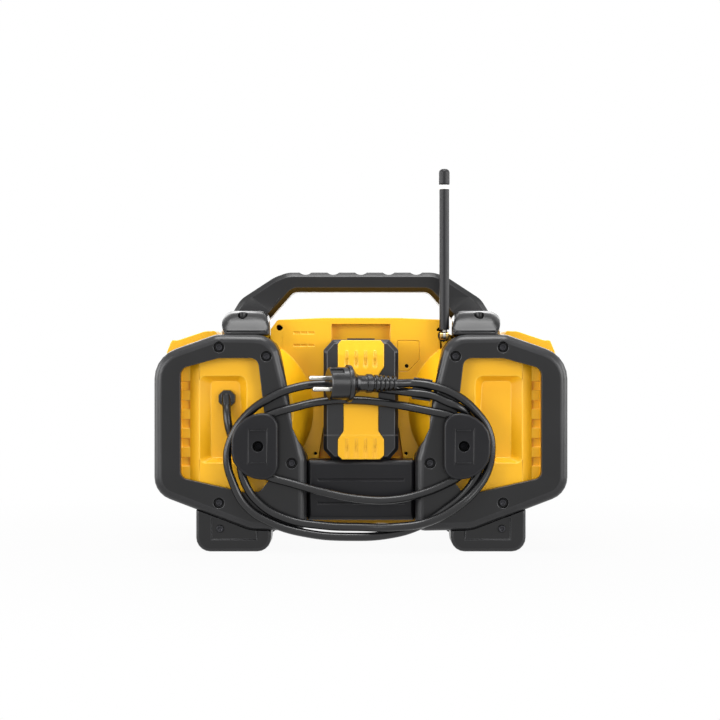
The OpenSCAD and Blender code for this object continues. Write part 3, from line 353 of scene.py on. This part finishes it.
# Bumpers and feet: thermoplastic rubber moulded over a stiff core and screwed to the shells' corners. Their
# faces are rolled over into the sides.
def rolled(bm, depth, steps):
    """Turns the 45 degree chamfer round a piece's rear or front face into a quarter round of its depth."""
    chamfer_wear_and_highlight, slope, tolerance = 0.6, sin(pi / 4), 0.02
    bmesh.ops.triangulate(bm, faces=bm.faces)
    bm.normal_update()

    def sloping(face):
        return abs(abs(face.normal.y) - slope) < tolerance
    top = max(abs(v.co.y) for f in bm.faces if sloping(f) for v in f.verts)
    across = [e for e in bm.edges if any(sloping(f) for f in e.link_faces)
              and abs(e.verts[0].co.y - e.verts[1].co.y) > 0.2 * MM]
    bmesh.ops.subdivide_edges(bm, edges=across, cuts=steps - 1, use_grid_fill=True)
    # The chamfer's faces are marked to be painted paler: a painted highlight along the rolled edge, as well
    # as wear.
    wear_and_highlight = bm.faces.layers.float.new("edge")
    for face in bm.faces:
        if sloping(face):
            face[wear_and_highlight] = chamfer_wear_and_highlight
    moves = {}
    for v in bm.verts:
        normal = sum((f.normal for f in v.link_faces if sloping(f)), Vector())
        rise = (abs(v.co.y) - top) / depth + 1
        if normal.length and 0.001 < rise < 0.999:
            turn = rise * pi / 2
            outward = Vector((normal.x, 0, normal.z)).normalized() * (cos(turn) - 1 + rise)
            moves[v] = (outward + Vector((0, copysign(sin(turn) - rise, normal.y), 0))) * depth
    for v, move in moves.items():
        v.co += move


# Bumper rubber: near black and satin, with broad highlights; rolled edges painted greyer, as wear and as a
# painted highlight.
bumper_rubber = moulded("moulded_bumper_rubber", ("0B0B0C", "111113"), patch_mm=40, grain_mm=1.0,
                        grain_depth_mm=0.012, roughness=0.3, edge_wear_and_highlight_hex="3A3A3C", Specular_IOR_Level=0.4)
for name in ("left_rear_bumper", "right_rear_bumper", "left_front_bumper", "right_front_bumper"):
    finished(name, bumper_rubber, "bumper_rubber", bevel_mm=0.8,
             shape=lambda bm: rolled(bm, depth=9 * MM, steps=6))
for name in ("left_rear_foot", "right_rear_foot", "left_front_foot", "right_front_foot"):
    finished(name, bumper_rubber, "bumper_rubber", bevel_mm=0.8,
             shape=lambda bm: rolled(bm, depth=3.5 * MM, steps=4))


# Rails and handle: the same rubber over stiff cores, the rails screwed down on the shoulders from above.
# Each rail spreads towards its foot like a boot and takes a leg of the handle, which flares above it.
X, Y, Z = range(3)


def sliced(bm, axis, places_mm):
    """Cuts a mesh's faces at each place along an axis, so that they can follow a curve."""
    for place in places_mm:
        point, normal = Vector(), Vector()
        point[axis], normal[axis] = place * MM, 1
        bmesh.ops.bisect_plane(bm, geom=bm.verts[:] + bm.edges[:] + bm.faces[:], dist=WELD, plane_co=point,
                               plane_no=normal)


def booted(bm):
    """Rounds a rail's rear end down to its foot like a toe, and leans its outer side in towards the top. All
    sizes are in mm."""
    middle, toe, narrowing, bore_margin = 125.5, 26, 4, 8.5
    foot_spread, top_lean = 2.5, 9
    foot, top = min(v.co.z for v in bm.verts) / MM, max(v.co.z for v in bm.verts) / MM
    rear = max(v.co.y for v in bm.verts) / MM
    sliced(bm, Z, [foot + 4 * step for step in range(1, 6)])
    sliced(bm, Y, [rear - 3 * step for step in range(1, 15)])
    for v in bm.verts:
        x, y, z = abs(v.co.x) / MM, v.co.y / MM, v.co.z / MM
        rise = max(z - foot, 0) / (top - foot)
        back = min(max((y - rear + toe) / toe, 0), 0.96)
        lean = (top_lean * rise ** 2 - foot_spread) * ramp(y, rear - 44, rear - 16)
        narrowed = narrowing * ramp(y, rear - 19, rear) * (1 - ramp(x, middle - 18, middle))
        v.co.x -= copysign((lean * ramp(x, middle, middle + 20) + narrowed) * MM, v.co.x)
        v.co.z = (foot + rise * (top - foot) * (1 - back ** 2) ** 0.5) * MM
    bore = Vector((middle + 3, rear - 15)) * MM
    soft = [v for v in bm.verts if v.co.y / MM > rear - 29 and v.co.z / MM > foot + 2
            and (Vector((abs(v.co.x), v.co.y)) - bore).length > bore_margin * MM]
    for turn in range(3):
        bmesh.ops.smooth_vert(bm, verts=soft, factor=0.5, use_axis_x=True, use_axis_y=True, use_axis_z=True)


def flared(bm):
    """Carries the top of each leg's rear flare across towards the leg's inner edge."""
    flare_x, flare_z, carried_x, leg_y = 101, 275, 91, 14
    for v in bm.verts:
        x, z = abs(v.co.x) / MM, v.co.z / MM
        if abs(x - flare_x) < 0.1 and abs(z - flare_z) < 5 and v.co.y > leg_y * MM:
            v.co.x = copysign(carried_x * MM, v.co.x)


for name in ("left_top_rail", "right_top_rail"):
    finished(name, bumper_rubber, "bumper_rubber", bevel_mm=0.3, shape=booted)
finished("handle", bumper_rubber, "bumper_rubber", bevel_mm=0.6, shape=flared, crease_deg=43)


# Lower panel and cord hooks: moulded glass-filled nylon, the hooks screwed to the rear shell. Each hook is
# a plate on a post, with two small ledges across its face.
def bulged(bm):
    """Swells the outer side of a hook's plate, most at half its height."""
    plate_mm, middle_z, half_height, swell_mm = 6.5, 113, 36, 3.6
    plate = max(v.co.y for v in bm.verts) - plate_mm * MM
    for v in bm.verts:
        if v.co.y > plate:
            height = min(abs(v.co.z / MM - middle_z) / half_height, 1)
            outer = ramp(abs(v.co.x) / MM, 112, 130)
            v.co.x += copysign(swell_mm * MM * outer * (1 - height * height), v.co.x)


def hook_ledge(hook, ledge_z):
    """A small ledge across the face of a hook's plate, sunk a little into it."""
    node = cad_nodes[hook]
    middle_x, sunk_mm, size_mm = 108.5, 0.2, (15, 1.8, 1.6)
    plate_y = max(corner[1] for corner in node.bound_box)
    place = Vector((copysign(middle_x, node.bound_box[0][0]) * MM, plate_y - sunk_mm * MM, ledge_z * MM))
    bm = bmesh.new()
    bmesh.ops.create_cube(bm, size=1, matrix=Matrix.LocRotScale(place, None, Vector(size_mm) * MM))
    made_mesh(hook + "_ledge", bm, black_nylon, "black_plastic", node["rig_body"], bevel_mm=0.4)


# Glass-filled nylon: near black and dryer than the rubber, since the fibres dull its skin.
black_nylon = moulded("moulded_black_nylon", ("0F0F12", "151518"), patch_mm=35, grain_mm=0.8,
                      grain_depth_mm=0.015, roughness=0.34, edge_wear_and_highlight_hex="28282A", Specular_IOR_Level=0.25)
finished("lower_rear_panel", black_nylon, "black_plastic", bevel_mm=0.6)
for name in ("left_cord_hook", "right_cord_hook"):
    finished(name, black_nylon, "black_plastic", bevel_mm=0.8, shape=bulged)
    for ledge_z in (95.5, 129.7):
        hook_ledge(name, ledge_z)


# Battery: a nylon case for ten cells with a sprung latch on top and a yellow ABS cover clipped over its
# rear face. Both ends fall back from the middle, and the cover has finger grooves at each end.
def fallen_back(bm):
    """Lets a rear face fall back above and below its middle, from a small ledge at the lower break."""
    upper_break, lower_break, upper_slope, lower_slope = 211, 124, 0.22, 0.1
    ledge_z, ledge_mm, face_y = 123.7, 0.8, 92
    sliced(bm, Z, (123.4, lower_break, upper_break))
    for v in bm.verts:
        if v.co.y > face_y * MM:
            ledge = ledge_mm * MM if v.co.z < ledge_z * MM else 0
            upper = upper_slope * max(v.co.z - upper_break * MM, 0)
            lower = lower_slope * max(lower_break * MM - v.co.z, 0)
            v.co.y += ledge - upper - lower


def grooved(bm):
    """Sinks four finger grooves into each end of the cover, and lets its ends fall back."""
    groove_xs, groove_width, groove_mm, skin_mm = (-15, -5, 5, 15), 1.7, 1.4, 0.6
    sliced(bm, X, range(-20, 21))
    sliced(bm, Z, (100, 110, 112, 114, 116, 194, 196, 198, 204, 206, 207.5))
    rear = max(v.co.y for v in bm.verts)
    for v in bm.verts:
        x, z = v.co.x / MM, v.co.z / MM
        groove = max(exp(-((x - middle) / groove_width) ** 2) for middle in groove_xs)
        low, high = 1 - ramp(z, 110, 116), ramp(z, 194, 198) * (1 - ramp(z, 203, 207.5))
        if v.co.y > rear - skin_mm * MM:
            v.co.y -= groove_mm * MM * groove * (low + high)
    fallen_back(bm)


def battery_form(bm):
    """Lets the case's ends fall back, and chamfers the outline of its rear face."""
    chamfer_mm, rim_y, middle = 3, 96, Vector((0, 100, 162)) * MM
    fallen_back(bm)
    # The chamfer round the rear face is marked to be painted light grey, a painted highlight along the
    # outline.
    wear_and_highlight = bm.faces.layers.float.new("edge")
    bmesh.ops.triangulate(bm, faces=bm.faces)
    bm.normal_update()

    def outer_wall(face):
        return abs(face.normal.y) < 0.5 and face.normal.dot(face.calc_center_median() - middle) > 0.02
    outline = [e for e in bm.edges if e.is_manifold and all(v.co.y > rim_y * MM for v in e.verts)
               and any(f.normal.y > 0.8 for f in e.link_faces) and any(outer_wall(f) for f in e.link_faces)]
    made = bmesh.ops.bevel(bm, geom=outline, offset=chamfer_mm * MM, offset_type="OFFSET", affect="EDGES",
                           segments=1, profile=0.5, material=-1, clamp_overlap=False)
    for face in made["faces"]:
        face[wear_and_highlight] = 1


# Battery nylon, unfilled: a smoother, glossier black than the hooks; its edges are painted light grey, a
# painted highlight.
battery_nylon = moulded("moulded_battery_nylon", ("121214", "18181A"), patch_mm=20, grain_mm=0.7,
                        grain_depth_mm=0.008, roughness=0.3, edge_wear_and_highlight_hex="58585A")
finished("battery_case", battery_nylon, "black_plastic", bevel_mm=0.5, shape=battery_form)
finished("battery_latch", black_nylon, "black_plastic", bevel_mm=0.4)
finished("battery_cover", yellow_abs, "yellow_abs", bevel_mm=0.6, shape=grooved)

# Screws: plated steel pan heads with a six-sided recess. They hold the bumpers, the feet, the hooks and
# the shells, and their heads are sunk.

# Blackened zinc: a dark grey metal whose rim and recess glint.
black_zinc = metal("blackened_zinc_screw", "3C3C3F", roughness=0.3, mark_mm=0.3)
for name in ("rear_bumper_screws", "front_bumper_screws"):
    finished(name, black_zinc, "steel", bevel_mm=0.35)
# Oiled black oxide: nearly black, so that the head reads as a dark hole with a thin bright rim.
dark_zinc = metal("oiled_black_screw", "161618", roughness=0.3, mark_mm=0.3)
finished("cord_hook_screws", dark_zinc, "steel", bevel_mm=0.25)
finished("small_screws", dark_zinc, "steel", bevel_mm=0.25)
finished("housing_screws", dark_zinc, "steel", bevel_mm=0.25, shape=shouldered)

# Antenna: a turned brass knuckle in a nylon base, with a folding fork, and a nickel-plated rod in a rubber
# sleeve under a moulded cap with a white band.

# Turned brass: warm yellow glints on a small, fine-ringed part.
bright_brass = metal("turned_brass", "D2B070", roughness=0.25, mark_mm=0.35)
# Sleeve rubber: greyer and flatter than the bumpers, so that the rod reads as one soft upright.
sleeve_rubber = moulded("antenna_sleeve_rubber", ("161618", "1E1E20"), patch_mm=14, grain_mm=0.7,
                        grain_depth_mm=0.02, roughness=0.4, edge_wear_and_highlight_hex="343436", Specular_IOR_Level=0.3)
finished("antenna_base", black_nylon, "black_plastic", bevel_mm=0.2)
finished("antenna_knuckle", bright_brass, "brass", bevel_mm=0.25)
finished("antenna_rod", nickel, "brass", bevel_mm=0.15)
finished("antenna_sleeve", sleeve_rubber, "bumper_rubber", bevel_mm=0.4)
finished("antenna_cap", sleeve_rubber, "bumper_rubber", bevel_mm=0.4)
# Heat-shrunk sleeving: a plain, matt white ring.
white_band = moulded("white_shrink_band", ("ECECEA", "F6F6F4"), patch_mm=5, grain_mm=0.4,
                     grain_depth_mm=0.01, roughness=0.4)
band_place, band_radius, band_height = Vector((-90.2, 76, 391)) * MM, 5.45 * MM, 4.7 * MM
band_bm = bmesh.new()
bmesh.ops.create_cone(band_bm, cap_ends=True, segments=48, radius1=band_radius, radius2=band_radius,
                      depth=band_height, matrix=Matrix.Translation(band_place))
made_mesh("antenna_band", band_bm, white_band, "bumper_rubber", cad_nodes["antenna_cap"]["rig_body"],
          bevel_mm=0.3)


# Speakers: punched and powder-coated steel grilles, with black cloth behind them, over pressed-steel
# baskets with coated paper cones.
def cloth(side):
    """A sheet of cloth behind a grille, as wide as the grille and cut out round the speaker's cone."""
    cloth_y, speaker_z, hole_radius, steps = -116.6 * MM, 137 * MM, 45, 48
    grille = cad_nodes[side + "_speaker_grille"]
    cone = [corner[0] for corner in cad_nodes[side + "_speaker_cone"].bound_box]
    places = [Vector((v.co.x, v.co.z)) for v in grille.data.vertices]
    middle = Vector(((min(cone) + max(cone)) / 2, 0, speaker_z))
    rim = [Vector((places[i].x, 0, places[i].y)) for i in convex_hull_2d(places)]
    turns = [2 * pi * step / steps for step in range(steps)]
    hole = [middle + Vector((cos(turn), 0, sin(turn))) * hole_radius * MM for turn in turns]
    bm = bmesh.new()
    for loop in (rim, hole):
        verts = [bm.verts.new(place + Vector((0, cloth_y, 0))) for place in loop]
        for start, end in zip(verts, verts[1:] + verts[:1]):
            bm.edges.new((start, end))
    sheet = bmesh.ops.triangle_fill(bm, edges=bm.edges, use_beauty=True)["geom"]
    faces = [f for f in sheet if isinstance(f, bmesh.types.BMFace)]
    bmesh.ops.solidify(bm, geom=faces, thickness=0.4 * MM)
    made_mesh(side + "_grille_cloth", bm, speaker_cloth, "black_plastic", grille["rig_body"])


# Coated paper: a dull, dark cone that keeps most of the light that falls into it.
paper_cone = moulded("coated_paper_cone", ("161618", "1E1E20"), patch_mm=8, grain_mm=0.5,
                     grain_depth_mm=0.05, roughness=0.6)
# Powder coat: an even dark grey with a soft sheen and a fine orange peel.
grille_black = moulded("powder_coated_grille", ("1F1F21", "29292B"), patch_mm=25, grain_mm=0.6,
                       grain_depth_mm=0.04, roughness=0.5)
# Zinc-plated pressed steel: a plain grey metal, half hidden behind the grille.
basket_steel = metal("pressed_basket_steel", "8E9094", roughness=0.4, mark_mm=0.5)
# Woven acoustic cloth: black without a gloss, so that the grille's holes read dark.
speaker_cloth = moulded("acoustic_cloth", ("0C0C0D", "161618"), patch_mm=6, grain_mm=0.7,
                        grain_depth_mm=0.1, roughness=0.85)
for side in ("left", "right"):
    cloth(side)
    finished(side + "_speaker_grille", grille_black, "black_plastic", bevel_mm=0)
    finished(side + "_speaker_basket", basket_steel, "steel", bevel_mm=0)
    finished(side + "_speaker_cone", paper_cone, "paper_cone", bevel_mm=0)

# Front controls: a nylon panel with an acrylic display window, silicone buttons and two ribbed knobs, and a
# rubber door over the ports.

# Silicone rubber: a flat mid grey, a little lighter along the rims that fingers rub.
button_grey = moulded("moulded_grey_button", ("4A4C4F", "54565A"), patch_mm=12, grain_mm=0.6,
                      grain_depth_mm=0.03, roughness=0.5, edge_wear_and_highlight_hex="66686C")
finished("control_panel", black_nylon, "black_plastic", bevel_mm=0.4)
for name in ("volume_knob", "tuning_knob"):
    finished(name, black_nylon, "black_plastic", bevel_mm=0.25, segments=1)
for name in ("power_button", "source_button", "preset_1_button", "preset_2_button", "preset_3_button",
             "preset_4_button"):
    finished(name, button_grey, "button_grey", bevel_mm=0.3)
finished("port_door", bumper_rubber, "bumper_rubber", bevel_mm=0.4)
# Smoked acrylic: glossy and clear, and it darkens the display behind it.
window_clear = moulded("smoked_display_window", ("3A4448", "414B4F"), patch_mm=30, grain_mm=2,
                       grain_depth_mm=0.01, roughness=0.12, Transmission_Weight=0.9)
finished("display_window", window_clear, "clear_window", bevel_mm=0.3)


# Inside: circuit boards, connectors, the display module and the cells. They keep their CAD shapes and are
# seen only through the window, behind the port door and in the open bay.
def clad(name, material):
    """Gives a CAD node that keeps its shape its material."""
    mesh_object = cad_nodes[name]
    if not mesh_object.material_slots:
        mesh_object.data.materials.append(material)
    for slot in mesh_object.material_slots:
        slot.material = material


# Solder mask on glass fibre: a clear mid green with a varnish gloss.
board_lacquer = moulded("green_board_lacquer", ("1F5B38", "2B6E48"), patch_mm=9, grain_mm=0.7,
                        grain_depth_mm=0.03, roughness=0.35)
# Reflective display glass: a pale grey green, as of a display that is switched off.
lcd_glass = moulded("reflective_lcd", ("8C9C86", "97A791"), patch_mm=20, grain_mm=0.5,
                    grain_depth_mm=0.01, roughness=0.3)
# Shrink wrap on the cells: a satin mid blue.
cell_wrap = moulded("cell_shrink_wrap", ("2F6FA8", "3A7DB8"), patch_mm=20, grain_mm=1,
                    grain_depth_mm=0.02, roughness=0.35)
for name, material in (("main_board", board_lacquer), ("control_board", board_lacquer),
                       ("rotary_encoders", basket_steel), ("display_module", lcd_glass),
                       ("port_block", black_nylon), ("bay_terminal_block", black_nylon),
                       ("battery_cells", cell_wrap), ("coin_cell", nickel)):
    clad(name, material)


# Floor and light: a plain pale sweep, six soft boxes and a pale room; the floor keeps the radio's shadow.
# What the lens sees of floor and room, straight or in a gloss or a window, is white.
def seen(tree):
    """1 for rays that come from the camera, a reflection or glass, and 0 for those that only light."""
    rays = add_node(tree, "LightPath").outputs
    mirrored = add_node(tree, "Math", {0: rays["Is Camera Ray"], 1: rays["Is Glossy Ray"]}, operation="ADD")
    return add_node(tree, "Math", {0: mirrored.outputs[0], 1: rays["Is Transmission Ray"]}, operation="ADD",
                    use_clamp=True).outputs[0]


# Painted floor: matt mid grey to the light that it throws back, and white to the eye. Near the radio a
# twentieth of its shading shows and keeps the shadow; further off none does.
shadow_from_m, shadow_to_m, white_share = 0.25, 0.75, 0.95
floor_paint, floor_tree, floor_surface = new_material("white_floor")
floor_surface.inputs["Base Color"].default_value = linear("8C8C8C")
floor_surface.inputs["Roughness"].default_value = 0.9
floor_place = add_node(floor_tree, "TexCoord").outputs["Object"]
floor_reach = add_node(floor_tree, "VectorMath", {0: floor_place}, operation="LENGTH").outputs["Value"]
floor_fade = add_node(floor_tree, "MapRange", {"Value": floor_reach, "From Min": shadow_from_m,
                                               "From Max": shadow_to_m, "To Min": white_share,
                                               "To Max": 1}).outputs[0]
floor_seen = add_node(floor_tree, "Math", {0: seen(floor_tree), 1: floor_fade},
                      operation="MULTIPLY").outputs[0]
floor_white = add_node(floor_tree, "Emission", {"Color": (1, 1, 1, 1), "Strength": 1}).outputs[0]
floor_mix = add_node(floor_tree, "MixShader", {0: floor_seen, 1: floor_surface.outputs[0], 2: floor_white})
floor_tree.links.new(floor_mix.outputs[0], floor_tree.nodes["Material Output"].inputs["Surface"])

floor_half_m = 20
floor_bm = bmesh.new()
bmesh.ops.create_grid(floor_bm, x_segments=1, y_segments=1, size=floor_half_m)
floor_mesh = bpy.data.meshes.new("floor")
floor_bm.to_mesh(floor_mesh)
floor_bm.free()
floor_mesh.materials.append(floor_paint)
floor = bpy.data.objects.new("floor", floor_mesh)
bpy.context.scene.collection.objects.link(floor)

world = bpy.data.worlds.new("pale_room")
bpy.context.scene.world = world
world.use_nodes = True
room = world.node_tree
sky = room.nodes["Background"]
sky.inputs["Color"].default_value = (1, 1, 1, 1)
room_light = 0.45
sky_strength = add_node(room, "MapRange", {"Value": seen(room), "To Min": room_light, "To Max": 1})
room.links.new(sky_strength.outputs[0], sky.inputs["Strength"])

# Each soft box has a place, a point that it faces and a side in metres, and a power in watts.
for name, place, aim, size, power in (
    ("top_box", (0, 0.6, 2.4), (0, 0, 0.2), 1.4, 54),
    ("rear_left_box", (1.9, 2.0, 0.7), (0, 0, 0.15), 1.3, 30),
    ("rear_right_box", (-1.9, 2.0, 0.7), (0, 0, 0.15), 1.3, 30),
    ("left_box", (2.4, 0.2, 0.6), (0, 0, 0.15), 1.6, 36),
    ("right_box", (-2.4, 0.2, 0.6), (0, 0, 0.15), 1.6, 36),
    ("front_box", (0.2, -2.4, 0.9), (0, 0, 0.15), 2.2, 44),
):
    light = bpy.data.lights.new(name, "AREA")
    light.shape = "SQUARE"
    light.size = size
    light.energy = power
    lamp = bpy.data.objects.new(name, light)
    lamp.location = place
    lamp.rotation_euler = (Vector(aim) - Vector(place)).to_track_quat("-Z", "Y").to_euler()
    bpy.context.scene.collection.objects.link(lamp)

bpy.context.scene.view_settings.view_transform = "Standard"
